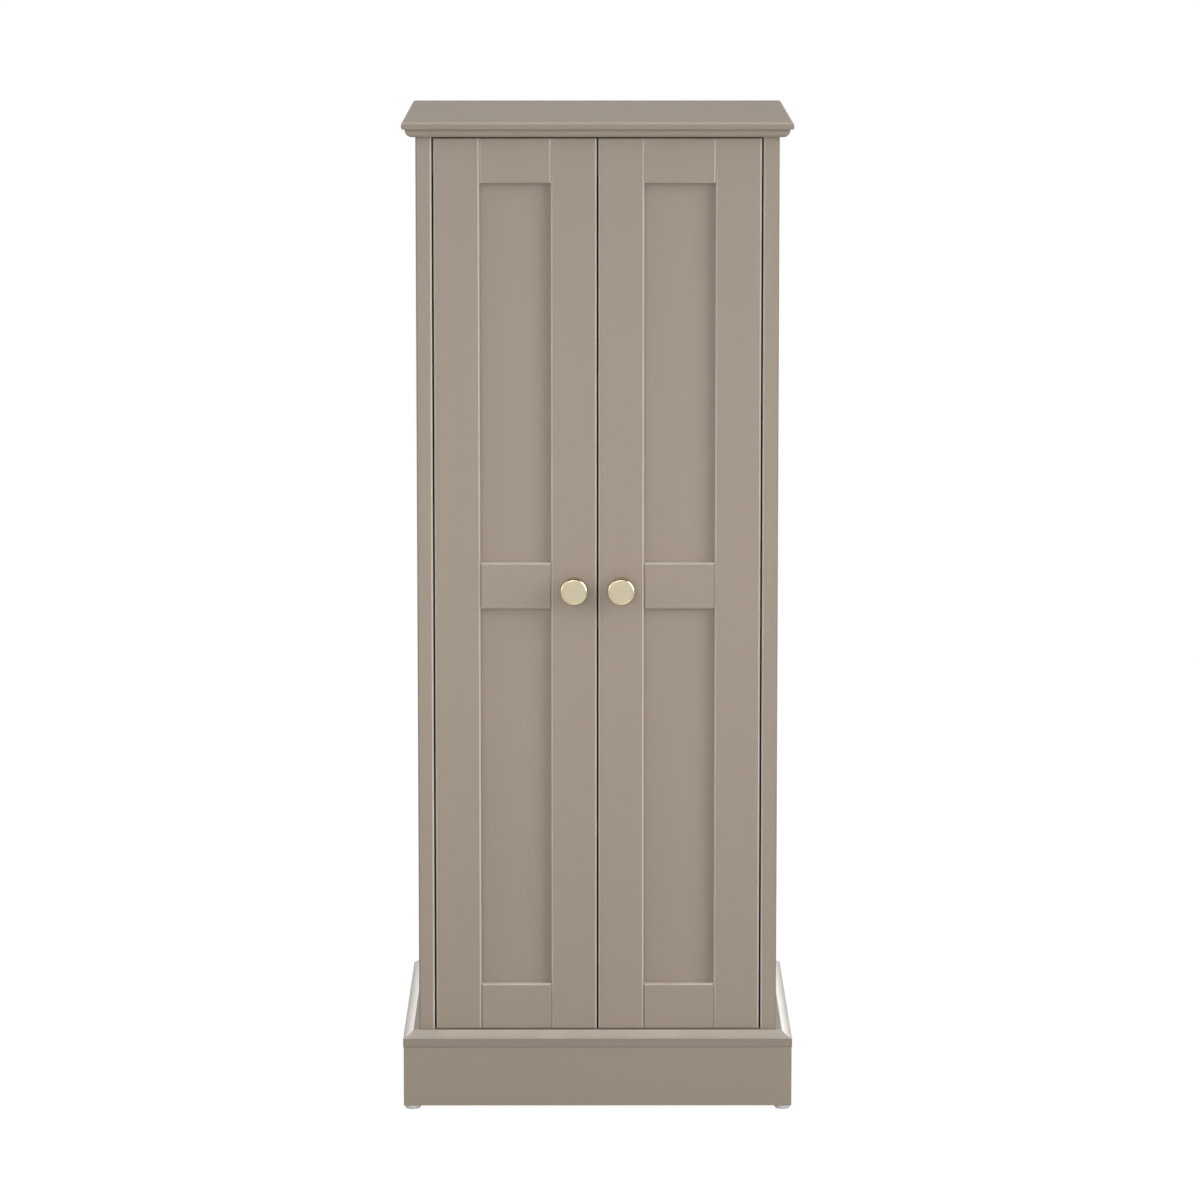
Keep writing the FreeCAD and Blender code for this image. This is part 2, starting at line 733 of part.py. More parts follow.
def make_cups():
    for z in hinge_heights:
        mouth = hinge_at(cup_from_edge, 0, z)
        into = V(0, -1, 0)
        body = rod(cup_radius, cup_depth, mouth, into)
        half_wing = cup_wing_width / 2
        wing = box(mouth.x - half_wing, mouth.x + half_wing, door_back_y, door_back_y + cup_wing_thickness,
                   z - cup_wing_length / 2, z + cup_wing_length / 2)
        hollow = rod(cup_radius - cup_wall, cup_depth - cup_wall + cup_wing_thickness + overrun,
                     mouth + V(0, cup_wing_thickness + overrun, 0), into)
        cup = body.fuse(wing).cut(hollow)
        stile_name = "left_door_hinge_stile"
        bore(stile_name, rod(cup_radius + cup_bore_fit, cup_depth + cup_bore_fit + overrun,
                             mouth + V(0, overrun, 0), into))
        for side in (-1, 1):
            start = hinge_at(cup_from_edge, cup_wing_thickness, z + side * cup_screw_spacing / 2)
            add("left_cup_screws", screw(start, into, cup_screw_length, small_screw_radius,
                                         small_screw_head_radius, small_screw_head_depth))
            hole = screw(start, into, cup_screw_length, small_screw_radius, small_screw_head_radius,
                         small_screw_head_depth, screw_fit)
            bore(stile_name, hole)
            cup = cup.cut(hole)
        add("left_hinge_cups", cup)


def make_arms():
    """Pressed arms that clip over the mounting plates and reach into the cups."""
    seat = plate_spine_height - door_gap
    web_in = arm_pivot_across - arm_nose_radius - arm_plate
    web_out = web_in + arm_plate
    nose_tip = arm_pivot_in
    for z in hinge_heights:
        web = hinge_prism([(seat, arm_back_end), (seat + arm_plate, arm_back_end), (seat + arm_plate, arm_bend_in),
                           (web_out, arm_nose_bend_in), (web_out, nose_tip), (web_in, nose_tip),
                           (web_in, arm_nose_bend_in - arm_plate), (seat, arm_bend_in - arm_plate)],
                          z - arm_half_width, z + arm_half_width)
        arm = web
        for side in (-1, 1):
            z0, z1 = sorted((z + side * arm_half_width, z + side * (arm_half_width - arm_plate)))
            ear = hinge_prism([(web_in, nose_tip), (arm_pivot_across, nose_tip - arm_nose_radius),
                               (arm_pivot_across + arm_nose_radius, nose_tip),
                               (arm_pivot_across + arm_nose_radius, nose_tip + arm_nose_radius),
                               (web_out, arm_nose_bend_in), (web_in, arm_nose_bend_in)], z0, z1)
            arm = arm.fuse(ear)
            wall_z = sorted((z + side * arm_channel_half_width, z + side * (plate_spine_half_width + pivot_fit)))
            wall = hinge_prism([(seat - plate_spine_height / 2, arm_back_end),
                                (seat + arm_plate, arm_back_end), (seat + arm_plate, arm_bend_in),
                                (seat - plate_spine_height / 2, arm_bend_in)], wall_z[0], wall_z[1])
            arm = arm.fuse(wall)
        pin_way = rod(link_pin_radius + pivot_fit, 2 * arm_half_width + 2 * overrun,
                      hinge_at(arm_pivot_across, arm_pivot_in, z - arm_half_width - overrun), V(0, 0, 1))
        arm = arm.cut(pin_way).removeSplitter()
        add("hinge_arms", arm, mirrored(arm))


def make_links():
    """Short links on pins through the arm noses."""
    for z in hinge_heights:
        start = hinge_at(arm_pivot_across, arm_pivot_in, z - link_half_width)
        boss = rod(link_end_radius, 2 * link_half_width, start, V(0, 0, 1))
        tip = rod(link_end_radius, 2 * link_half_width, start + V(link_length, 0, 0), V(0, 0, 1))
        bar = hinge_prism([(arm_pivot_across, arm_pivot_in - link_end_radius),
                           (arm_pivot_across + link_length, arm_pivot_in - link_end_radius),
                           (arm_pivot_across + link_length, arm_pivot_in + link_end_radius),
                           (arm_pivot_across, arm_pivot_in + link_end_radius)],
                          z - link_half_width, z + link_half_width)
        pin = rod(link_pin_radius, 2 * arm_half_width, start + V(0, 0, link_half_width - arm_half_width), V(0, 0, 1))
        add("left_hinge_links", boss.fuse([tip, bar, pin]).removeSplitter())


def make_mounting_plates():
    for z in hinge_heights:
        spine = hinge_prism([(-door_gap, plate_front_in), (plate_spine_height - door_gap, plate_front_in),
                             (plate_spine_height - door_gap, plate_back_in), (-door_gap, plate_back_in)],
                            z - plate_spine_half_width, z + plate_spine_half_width)
        wing_front = plate_screw_in - plate_wing_width / 2
        wing_back = plate_screw_in + plate_wing_width / 2
        wing_top = plate_wing_thickness - door_gap
        wing = hinge_prism([(-door_gap, wing_front), (wing_top, wing_front), (wing_top, wing_back),
                            (-door_gap, wing_back)], z - plate_wing_height / 2, z + plate_wing_height / 2)
        plate = spine.fuse(wing)
        for side in (-1, 1):
            start = hinge_at(wing_top, plate_screw_in, z + side * plate_screw_pitch / 2)
            sizes = (plate_screw_length, screw_radius, screw_head_radius, screw_head_depth)
            peg = screw(start, V(-1, 0, 0), *sizes)
            hole = screw(start, V(-1, 0, 0), *sizes, screw_fit)
            plate = plate.cut(hole)
            add("hinge_plate_screws", peg, mirrored(peg))
            bore("left_side_panel", hole)
            bore("right_side_panel", mirrored(hole))
        plate = plate.removeSplitter()
        add("hinge_plates", plate, mirrored(plate))


# Magnetic catches under the front stretcher

def make_catches():
    face_y = door_back_y + strike_thickness + strike_gap
    case_y = face_y + magnet_stand
    low = stretcher_bottom - catch_height
    for side in (-1, 1):
        x = side * catch_from_centre
        case = box(x - catch_width / 2, x + catch_width / 2, case_y, case_y + catch_depth, low, stretcher_bottom)
        magnet_low = low + (catch_height - magnet_height) / 2
        pocket = box(x - magnet_width / 2 - magnet_fit, x + magnet_width / 2 + magnet_fit, case_y - overrun,
                     face_y + magnet_depth + magnet_fit, magnet_low - magnet_fit,
                     magnet_low + magnet_height + magnet_fit)
        case = case.cut(pocket)
        add("catch_magnets", box(x - magnet_width / 2, x + magnet_width / 2, face_y, face_y + magnet_depth,
                                 magnet_low, magnet_low + magnet_height))
        for way in (-1, 1):
            start = V(x + way * catch_screw_spacing / 2, case_y + catch_depth / 2, low)
            add("catch_screws", screw(start, V(0, 0, 1), catch_screw_length, small_screw_radius,
                                      small_screw_head_radius, small_screw_head_depth))
            hole = screw(start, V(0, 0, 1), catch_screw_length, small_screw_radius, small_screw_head_radius,
                         small_screw_head_depth, screw_fit)
            case = case.cut(hole)
            bore("front_stretcher", hole)
        add("catch_cases", case)


# Build everything, bore the boards and write one file per node

make_top_and_base()
make_side_panels()
make_back_panel()
make_rails()
make_shelves()
make_plinth()
make_glides()
make_board_joints()
make_back_nails()
make_door()
make_arms()
make_links()
make_mounting_plates()
make_catches()

finished = {}
for name, solid in boards.items():
    tools = bores.get(name, [])
    finished[name] = solid.cut(tools) if tools else solid
for name in blocks:
    add("plinth_blocks", finished.pop(name))
for name, solids in groups.items():
    finished[name] = Part.makeCompound(solids)
for name in [n for n in finished if n.startswith("left_") and n != "left_side_panel"]:
    finished[name.replace("left_", "right_", 1)] = mirrored(finished[name])

for name, shape in finished.items():
    shape.exportStep("parts/" + name + ".step")
print(len(finished), "nodes,", sum(len(shape.Solids) for shape in finished.values()), "solids")
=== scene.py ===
import bpy, bmesh, json
from math import pi, radians
from mathutils import Matrix, Vector


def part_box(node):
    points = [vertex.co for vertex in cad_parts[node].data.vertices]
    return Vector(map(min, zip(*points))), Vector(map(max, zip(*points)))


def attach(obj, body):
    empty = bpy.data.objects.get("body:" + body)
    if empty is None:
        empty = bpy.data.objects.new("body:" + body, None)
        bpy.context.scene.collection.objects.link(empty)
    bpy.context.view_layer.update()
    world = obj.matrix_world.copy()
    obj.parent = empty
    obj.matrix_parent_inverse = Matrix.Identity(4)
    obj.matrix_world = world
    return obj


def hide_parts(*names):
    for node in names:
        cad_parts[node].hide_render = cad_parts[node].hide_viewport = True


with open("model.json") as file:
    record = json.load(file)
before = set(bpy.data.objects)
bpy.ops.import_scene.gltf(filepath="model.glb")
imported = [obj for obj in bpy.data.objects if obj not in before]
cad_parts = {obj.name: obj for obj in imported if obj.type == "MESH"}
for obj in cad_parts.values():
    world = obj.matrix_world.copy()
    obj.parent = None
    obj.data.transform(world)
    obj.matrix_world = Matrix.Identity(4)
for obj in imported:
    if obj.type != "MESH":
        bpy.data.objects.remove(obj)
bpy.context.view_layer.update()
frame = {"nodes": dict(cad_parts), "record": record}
nodes = frame["nodes"]
print("frame loaded,", len(nodes), "nodes")


# Camera, where the photograph was taken from
cameraSetup = {
    "place": (-0.0092, -6.5996, 1.5128),
    "lookDown": 8.217,  # degrees
    "turn": -0.107,
    "lens": 171.21,
    "sensor": 36.0,
}
cameraData = bpy.data.cameras.new("camera")
cameraData.lens = cameraSetup["lens"]
cameraData.sensor_width = cameraSetup["sensor"]
cameraData.sensor_fit = "HORIZONTAL"
cameraData.dof.use_dof = False
camera = bpy.data.objects.new("camera", cameraData)
camera.location = cameraSetup["place"]
camera.rotation_euler = (radians(90 - cameraSetup["lookDown"]), 0, radians(cameraSetup["turn"]))
bpy.context.scene.collection.objects.link(camera)
bpy.context.scene.camera = camera
bpy.context.scene.view_settings.view_transform = "Standard"
print("camera placed")


# Node helpers
def addNode(tree, kind, settings={}, **inputs):
    # an input is named as its socket is, or i and the socket's number
    node = tree.nodes.new(kind)
    for name, value in settings.items():
        setattr(node, name, value)
    for name, value in inputs.items():
        socket = node.inputs[int(name[1:]) if name[1:].isdigit() else name]
        if isinstance(value, bpy.types.NodeSocket):
            tree.links.new(value, socket)
        else:
            socket.default_value = value
    return node


def calc(tree, operation, *values, **settings):
    inputs = {"i" + str(number): value for number, value in enumerate(values)}
    return addNode(tree, "ShaderNodeMath", {"operation": operation, **settings}, **inputs).outputs[0]


def mapped(tree, value, low, high, toLow=0.0, toHigh=1.0, curve="LINEAR"):
    settings = {"interpolation_type": curve}
    node = addNode(tree, "ShaderNodeMapRange", settings, i0=value, i1=low, i2=high, i3=toLow, i4=toHigh)
    return node.outputs["Result"]


def partsOf(tree, vector):
    return addNode(tree, "ShaderNodeSeparateXYZ", {}, i0=vector).outputs


def scaled(tree, vector, amount):
    return addNode(tree, "ShaderNodeVectorMath", {"operation": "SCALE"}, i0=vector, Scale=amount).outputs[0]


def lengthOf(tree, vector):
    return addNode(tree, "ShaderNodeVectorMath", {"operation": "LENGTH"}, i0=vector).outputs["Value"]


def noise(tree, place, scale, grade, **more):
    detail, roughness = grade
    node = addNode(tree, "ShaderNodeTexNoise", {}, Vector=place, Scale=scale, Detail=detail, Roughness=roughness,
                   **more)
    return node.outputs["Fac"]


def blended(tree, share, first, second):
    return addNode(tree, "ShaderNodeMix", {"data_type": "RGBA"}, i0=share, i6=first, i7=second).outputs[2]


def newGroup(name, inputs, outputs):
    group = bpy.data.node_groups.new(name, "ShaderNodeTree")
    for way, sockets in (("INPUT", inputs), ("OUTPUT", outputs)):
        for label, kind in sockets.items():
            group.interface.new_socket(label, in_out=way, socket_type="NodeSocket" + kind)
    return group, group.nodes.new("NodeGroupInput").outputs, group.nodes.new("NodeGroupOutput").inputs


def useGroup(tree, group, **inputs):
    return addNode(tree, "ShaderNodeGroup", {"node_tree": group}, **inputs).outputs


# Shared effects. A noise is given as its detail and roughness
effects = {
    "noiseMean": 0.5,
    "driftNoise": (3.0, 0.55),
    "grainNoise": (2.0, 0.5),
    "sheenScale": 9.0,  # slow change of gloss over a board
    "sheenNoise": (4.0, 0.6),
    "patchSize": 0.05,  # patches in which an edge's painted highlight is stronger or weaker
    "patchNoise": (3.0, 0.6),
    "patchFrom": (0.3, 0.7),
    "patchTo": (0.7, 1.0),
    "ledgeTilt": (0.6, 0.9),  # upward part of a direction: no painted ledge highlight up to the first, a full one from the second
    # arrises that lean further down than this get the darker arris colour, a painted shade line
    "downTilt": -0.1,
    "noSideways": (0, 1, 1),  # takes the sideways part out of a direction
}


def makeDriftGroup():
    # slow change of a colour over a surface
    group, given, wanted = newGroup(
        "colourDrift", {"Place": "Vector", "Colour": "Color", "Size": "Float", "Amount": "Float"}, {"Colour": "Color"})
    cloud = noise(group, given["Place"], calc(group, "DIVIDE", 1.0, given["Size"]), effects["driftNoise"])
    spread = calc(group, "SUBTRACT", cloud, effects["noiseMean"])
    amount = calc(group, "MULTIPLY_ADD", spread, given["Amount"], 1.0)
    group.links.new(scaled(group, given["Colour"], amount), wanted["Colour"])
    return group


def makeReliefGroup():
    # fine skin of sprayed paint or moulded plastic, as height and as a change of roughness
    group, given, wanted = newGroup(
        "fineRelief", {"Place": "Vector", "Size": "Float", "Roughness": "Float", "Spread": "Float"},
        {"Height": "Float", "Roughness": "Float"})
    grain = noise(group, given["Place"], calc(group, "DIVIDE", 1.0, given["Size"]), effects["grainNoise"])
    group.links.new(grain, wanted["Height"])
    sheen = noise(group, given["Place"], effects["sheenScale"], effects["sheenNoise"])
    spread = calc(group, "SUBTRACT", sheen, effects["noiseMean"])
    group.links.new(calc(group, "MULTIPLY_ADD", spread, given["Spread"], given["Roughness"]), wanted["Roughness"])
    return group


def makeArrisGroup():
    # painted highlight: eased edges, found by how far a face leans between two axes, and up-facing ledges are made
    # paler than the paint, standing in for the light they catch
    group, given, wanted = newGroup(
        "rubbedArris",
        {"Way": "Vector", "Place": "Vector", "Colour": "Color", "Rubbed": "Color", "Strength": "Float",
         "LeanFrom": "Float", "LeanTo": "Float", "Ledge": "Float"},
        {"Colour": "Color"})
    parts = partsOf(group, given["Way"])
    products = [calc(group, "MULTIPLY", parts[first], parts[second]) for first, second in ("XY", "YZ", "XZ")]
    leans = [calc(group, "ABSOLUTE", product) for product in products]
    lean = calc(group, "MAXIMUM", calc(group, "MAXIMUM", leans[0], leans[1]), leans[2])
    edge = mapped(group, lean, given["LeanFrom"], given["LeanTo"], curve="SMOOTHSTEP")
    upward = mapped(group, parts["Z"], *effects["ledgeTilt"], curve="SMOOTHSTEP")
    highlighted = calc(group, "MAXIMUM", edge, calc(group, "MULTIPLY", upward, given["Ledge"]))
    cloud = noise(group, given["Place"], 1 / effects["patchSize"], effects["patchNoise"])
    patch = mapped(group, cloud, *effects["patchFrom"], *effects["patchTo"])
    mask = calc(group, "MULTIPLY", calc(group, "MULTIPLY", highlighted, patch), given["Strength"])
    group.links.new(blended(group, mask, given["Colour"], given["Rubbed"]), wanted["Colour"])
    return group


colourDrift = makeDriftGroup()
fineRelief = makeReliefGroup()
rubbedArris = makeArrisGroup()


def startMaterial(name):
    material = bpy.data.materials.new(name)
    material.use_nodes = True
    tree = material.node_tree
    tree.nodes.clear()
    place = tree.nodes.new("ShaderNodeTexCoord").outputs["Object"]
    shader = tree.nodes.new("ShaderNodeBsdfPrincipled")
    output = tree.nodes.new("ShaderNodeOutputMaterial")
    tree.links.new(shader.outputs["BSDF"], output.inputs["Surface"])
    return material, tree, place, shader


def driftingColour(tree, place, look):
    drift = useGroup(tree, colourDrift, Place=place, Colour=(*look["colour"], 1), Size=look["driftSize"],
                     Amount=look["drift"])
    return drift["Colour"]


def reliefOf(tree, place, look):
    return useGroup(tree, fineRelief, Place=place, Size=look["grainSize"], Roughness=look["roughness"],
                    Spread=look["spread"])


def setBump(tree, shader, strength, depth, height):
    bump = addNode(tree, "ShaderNodeBump", {}, Strength=strength, Distance=depth, Height=height)
    tree.links.new(bump.outputs["Normal"], shader.inputs["Normal"])


def rubbedColour(tree, place, look, colour):
    way = tree.nodes.new("ShaderNodeTexCoord").outputs["Normal"]
    rubbed = (*look["rubbed"], 1)
    if "outer" in look:
        # an arris turned down, or away from the cabinet's middle, gets a darker colour in place of the highlight:
        # painted shade
        turned = partsOf(tree, way)
        away = calc(tree, "GREATER_THAN", calc(tree, "MULTIPLY", partsOf(tree, place)["X"], turned["X"]), 0.0)
        down = calc(tree, "LESS_THAN", turned["Z"], effects["downTilt"])
        rubbed = blended(tree, calc(tree, "MAXIMUM", away, down), rubbed, (*look["outer"], 1))
    if "ledge" in look:
        # a rail's ends, against the stiles, get no painted highlight
        settings = {"operation": "MULTIPLY"}
        way = addNode(tree, "ShaderNodeVectorMath", settings, i0=way, i1=effects["noSideways"]).outputs[0]
    leanFrom, leanTo = look["lean"]
    arris = useGroup(tree, rubbedArris, Way=way, Place=place, Colour=colour, Rubbed=rubbed, Strength=look["rub"],
                     LeanFrom=leanFrom, LeanTo=leanTo, Ledge=look.get("ledge", 0.0))
    return arris["Colour"]


def simpleMaterial(name, look):
    material, tree, place, shader = startMaterial(name)
    colour = driftingColour(tree, place, look)
    if "rubbed" in look:
        colour = rubbedColour(tree, place, look, colour)
    tree.links.new(colour, shader.inputs["Base Color"])
    relief = reliefOf(tree, place, look)
    tree.links.new(relief["Roughness"], shader.inputs["Roughness"])
    shader.inputs["Metallic"].default_value = look.get("metallic", 0)
    shader.inputs["Specular IOR Level"].default_value = look.get("specular", 0.5)
    setBump(tree, shader, look["bump"], look["grainDepth"], relief["Height"])
    return material


# One satin paint on all the boards. The copies differ in tone: the base is darker as painted shade on its band, and the
# plinth is darker than the doors. They also differ in their painted highlights on edges and ledges, and in painted
# shade on some arrises
paint = {
    "colour": (0.368, 0.305, 0.243), "roughness": 0.38, "spread": 0.08, "driftSize": 0.25, "drift": 0.04,
    "grainSize": 0.0022, "grainDepth": 0.00004, "bump": 0.5, "specular": 0.5,
    "rubbed": (0.66, 0.605, 0.535), "rub": 0.8, "lean": (0.3, 0.49),
}
looks = {
    "painted_wood": paint,
    "painted_side": {**paint, "rubbed": (0.72, 0.665, 0.595), "outer": (0.26, 0.215, 0.17), "rub": 0.9},
    "painted_rail": {**paint, "rub": 0.78, "ledge": 1.0},
    "painted_plinth": {**paint, "colour": (0.352, 0.293, 0.234), "rubbed": (0.52, 0.47, 0.40), "rub": 0.75},
    "painted_base": {**paint, "colour": (0.308, 0.256, 0.204), "rubbed": (0.56, 0.51, 0.44),
                     "outer": (0.27, 0.235, 0.20), "rub": 0.9, "lean": (0.15, 0.32)},
    "painted_top": {**paint, "colour": (0.375, 0.313, 0.250), "roughness": 0.66, "driftSize": 0.2, "drift": 0.05,
                    "grainDepth": 0.00006, "bump": 0.7, "specular": 0.25,
                    "rubbed": (0.50, 0.43, 0.345), "lean": (0.15, 0.4)},
    "back_board": {"colour": (0.362, 0.302, 0.241), "roughness": 0.62, "spread": 0.08, "driftSize": 0.2, "drift": 0.07,
                   "grainSize": 0.0012, "grainDepth": 0.0001, "bump": 0.5, "specular": 0.35},
    "nickel": {"colour": (0.60, 0.59, 0.56), "roughness": 0.24, "spread": 0.08, "driftSize": 0.015, "drift": 0.06,
               "grainSize": 0.0005, "grainDepth": 0.00001, "bump": 0.3, "metallic": 1},
    "zinc": {"colour": (0.50, 0.51, 0.53), "roughness": 0.33, "spread": 0.1, "driftSize": 0.006, "drift": 0.12,
             "grainSize": 0.0006, "grainDepth": 0.00001, "bump": 0.4, "metallic": 1},
    "glide_plastic": {"colour": (0.78, 0.78, 0.80), "roughness": 0.35, "spread": 0.05, "driftSize": 0.02, "drift": 0.04,
                      "grainSize": 0.0008, "grainDepth": 0.00002, "bump": 0.3},
    "catch_plastic": {"colour": (0.64, 0.61, 0.54), "roughness": 0.45, "spread": 0.06, "driftSize": 0.02, "drift": 0.05,
                      "grainSize": 0.0006, "grainDepth": 0.00004, "bump": 0.5},
    "magnet": {"colour": (0.05, 0.05, 0.055), "roughness": 0.5, "spread": 0.12, "driftSize": 0.008, "drift": 0.25,
               "grainSize": 0.0004, "grainDepth": 0.00004, "bump": 0.6},
    "soft_rubber": {"colour": (0.50, 0.48, 0.44), "roughness": 0.7, "spread": 0.06, "driftSize": 0.01, "drift": 0.05,
                    "grainSize": 0.0006, "grainDepth": 0.00003, "bump": 0.4},
}
finishes = {slot: simpleMaterial(slot, look) for slot, look in looks.items()}


# Brass of the knobs: fine rings left by the lathe round each knob's axis
knobLow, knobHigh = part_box("right_knob")
brass = {
    "colour": (0.585, 0.515, 0.362),
    "roughness": 0.15,
    "spread": 0.05,
    "knobX": (knobLow[0] + knobHigh[0]) / 2,
    "knobZ": (knobLow[2] + knobHigh[2]) / 2,
    "ringPitch": 0.00035,
    "ringDepth": 0.000006,
    "ringNoise": (3.0, 0.7),
    "ringFrom": (0.3, 0.7),
    "bump": 0.5,
    "driftSize": 0.02,
    "drift": 0.05,
}


def brassMaterial(look):
    material, tree, place, shader = startMaterial("brass")
    parts = partsOf(tree, place)
    across = calc(tree, "SUBTRACT", calc(tree, "ABSOLUTE", parts["X"]), look["knobX"])  # both knobs at once
    up = calc(tree, "SUBTRACT", parts["Z"], look["knobZ"])
    radius = lengthOf(tree, addNode(tree, "ShaderNodeCombineXYZ", {}, X=across, Z=up).outputs[0])
    ring = addNode(tree, "ShaderNodeCombineXYZ", {}, X=radius, Y=parts["Y"]).outputs[0]
    lines = noise(tree, ring, 1 / look["ringPitch"], look["ringNoise"])
    tree.links.new(driftingColour(tree, place, look), shader.inputs["Base Color"])
    shine = mapped(tree, lines, *look["ringFrom"], look["roughness"], look["roughness"] + look["spread"])
    tree.links.new(shine, shader.inputs["Roughness"])
    setBump(tree, shader, look["bump"], look["ringDepth"], lines)
    shader.inputs["Metallic"].default_value = 1
    return material


finishes["brass"] = brassMaterial(brass)


# Bare beech of the dowels and corner blocks: long grain with short dark flecks
beech = {
    "light": (0.56, 0.39, 0.23),
    "dark": (0.42, 0.26, 0.13),
    "stretch": (1, 1, 0.12),
    "figure": 160.0,
    "figureNoise": (5.0, 0.6),
    "figureBend": 0.6,
    "flecks": 420.0,
    "fleckReach": 0.25,
    "fleckDark": 0.75,
    "grainSize": 0.001,
    "grainDepth": 0.0001,
    "roughness": 0.6,
    "spread": 0.08,
    "bump": 0.5,
}


def beechMaterial(look):
    material, tree, place, shader = startMaterial("bare_wood")
    along = addNode(tree, "ShaderNodeMapping", {}, Vector=place, Scale=look["stretch"]).outputs[0]
    figure = noise(tree, along, look["figure"], look["figureNoise"], Distortion=look["figureBend"])
    flecks = addNode(tree, "ShaderNodeTexVoronoi", {}, Vector=along, Scale=look["flecks"]).outputs["Distance"]
    tone = blended(tree, figure, (*look["light"], 1), (*look["dark"], 1))
    spots = mapped(tree, flecks, 0.0, look["fleckReach"], look["fleckDark"], 1.0)
    tree.links.new(scaled(tree, tone, spots), shader.inputs["Base Color"])
    relief = reliefOf(tree, along, look)
    tree.links.new(relief["Roughness"], shader.inputs["Roughness"])
    setBump(tree, shader, look["bump"], look["grainDepth"], figure)
    return material


finishes["bare_wood"] = beechMaterial(beech)


def putFinish(nodeName, finish):
    nodes[nodeName].data.materials[0] = finishes[finish]


for part in frame["record"]["subparts"]:
    node = nodes[part["node"]]
    node.data.materials.clear()
    node.data.materials.append(finishes[part["material_slot"]])
putFinish("top_board", "painted_top")  # more matt than the doors; its rounded nose gets a painted highlight, and the cove under it painted light in its shade
putFinish("base_board", "painted_base")  # darker than the doors as painted shade on its band; its wide slope gets a painted highlight, paler than the paint but weaker than on a thin arris
for side in ("left", "right"):
    # the side panels' inner front arrises get a paler painted highlight, their outer arrises a darker painted shade
    putFinish(side + "_side_panel", "painted_side")
    for rail in ("_door_middle_rail", "_door_bottom_rail"):
        putFinish(side + rail, "painted_rail")  # painted highlight on the ledge over the panel too
# the plinth boards get a darker copy of the paint, darker than the doors, with a weaker painted edge highlight
for name in nodes:
    if name.startswith("plinth_") and nodes[name].data.materials[0] == finishes["painted_wood"]:
        putFinish(name, "painted_plinth")
print("finishes on the CAD nodes")


# Piece helpers
perMetre = 1000  # profiles and screws are written in millimetres
closeness = {
    "weld": 1e-6,  # corners this near each other are one
    "spinWeld": 1e-7,
    "end": 2e-5,  # corners this near a peg's end are on it
    "flat": 1,  # degrees between faces that become one
}


def mergedCopy(nodeName):
    shape = bmesh.new()
    shape.from_mesh(nodes[nodeName].data)
    bmesh.ops.remove_doubles(shape, verts=shape.verts, dist=closeness["weld"])
    return shape


def solidsOf(nodeName):
    # lists of corner points, one list for each separate solid of a CAD node
    shape = mergedCopy(nodeName)
    left = set(shape.verts)
    solids = []
    while left:
        front = [left.pop()]
        points = []
        while front:
            vert = front.pop()
            points.append(vert.co.copy())
            for edge in vert.link_edges:
                other = edge.other_vert(vert)
                if other in left:
                    left.remove(other)
                    front.append(other)
        solids.append(points)
    shape.free()
    return solids


def boxOf(points):
    return (Vector([min(point[i] for point in points) for i in range(3)]),
            Vector([max(point[i] for point in points) for i in range(3)]))


def pegsOf(nodeName):
    # start, direction, length and radius of each peg, nail or screw of a node, from its wider end
    pegs = []
    for points in solidsOf(nodeName):
        low, high = boxOf(points)
        span = high - low
        axis = max(range(3), key=lambda i: span[i])
        ends = []
        for end in (low[axis], high[axis]):
            centre = (low + high) / 2
            centre[axis] = end
            near = [point - centre for point in points if abs(point[axis] - end) < closeness["end"]]
            for offset in near:
                offset[axis] = 0
            ends.append((max(offset.length for offset in near), centre))
        ends.sort(key=lambda end: -end[0])
        radius, start = ends[0]
        tip = ends[1][1]
        pegs.append((start, (tip - start).normalized(), span[axis], radius))
    return pegs


def spunShape(profile, steps):
    # a turned shape about Z from (radius, height) points in millimetres
    shape = bmesh.new()
    verts = [shape.verts.new((radius / perMetre, 0, height / perMetre)) for radius, height in profile]
    for first, second in zip(verts, verts[1:]):
        shape.edges.new((first, second))
    bmesh.ops.spin(shape, geom=shape.verts[:] + shape.edges[:], cent=(0, 0, 0), axis=(0, 0, 1), angle=2 * pi,
                   steps=steps, use_merge=True)
    bmesh.ops.remove_doubles(shape, verts=shape.verts, dist=closeness["spinWeld"])
    return shape


def turnedTo(direction, place):
    # takes +Z to the given direction, then to its place
    return Matrix.Translation(place) @ Vector(direction).to_track_quat("Z", "Y").to_matrix().to_4x4()


def joinInto(whole, shape, matrix):
    bmesh.ops.transform(shape, matrix=matrix, verts=shape.verts)
    mesh = bpy.data.meshes.new("joined")
    shape.to_mesh(mesh)
    shape.free()
    whole.from_mesh(mesh)
    bpy.data.meshes.remove(mesh)


def newObject(name, shape, material):
    mesh = bpy.data.meshes.new(name)
    shape.to_mesh(mesh)
    shape.free()
    mesh.materials.append(material)
    item = bpy.data.objects.new(name, mesh)
    bpy.context.scene.collection.objects.link(item)
    return item


def finishPiece(name, shape, slot, body, replaced, smoothTo=35):
    bmesh.ops.recalc_face_normals(shape, faces=shape.faces)
    for face in shape.faces:
        face.smooth = True
    for edge in shape.edges:
        if len(edge.link_faces) == 2 and edge.calc_face_angle() > radians(smoothTo):
            edge.smooth = False
    piece = newObject(name, shape, finishes[slot])
    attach(piece, body)
    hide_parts(*replaced)


def softenedCopy(nodeName, width, segments, sharpFrom=30):
    # a copy of a CAD node with its sharp edges rounded over
    shape = mergedCopy(nodeName)
    bmesh.ops.dissolve_limit(shape, angle_limit=radians(closeness["flat"]), verts=shape.verts, edges=shape.edges)
    sharp = [edge for edge in shape.edges if len(edge.link_faces) == 2 and edge.calc_face_angle() > radians(sharpFrom)]
    bmesh.ops.bevel(shape, geom=sharp, offset=width, offset_type="OFFSET", affect="EDGES", segments=segments,
                    profile=0.5, material=-1, clamp_overlap=True)
    return shape


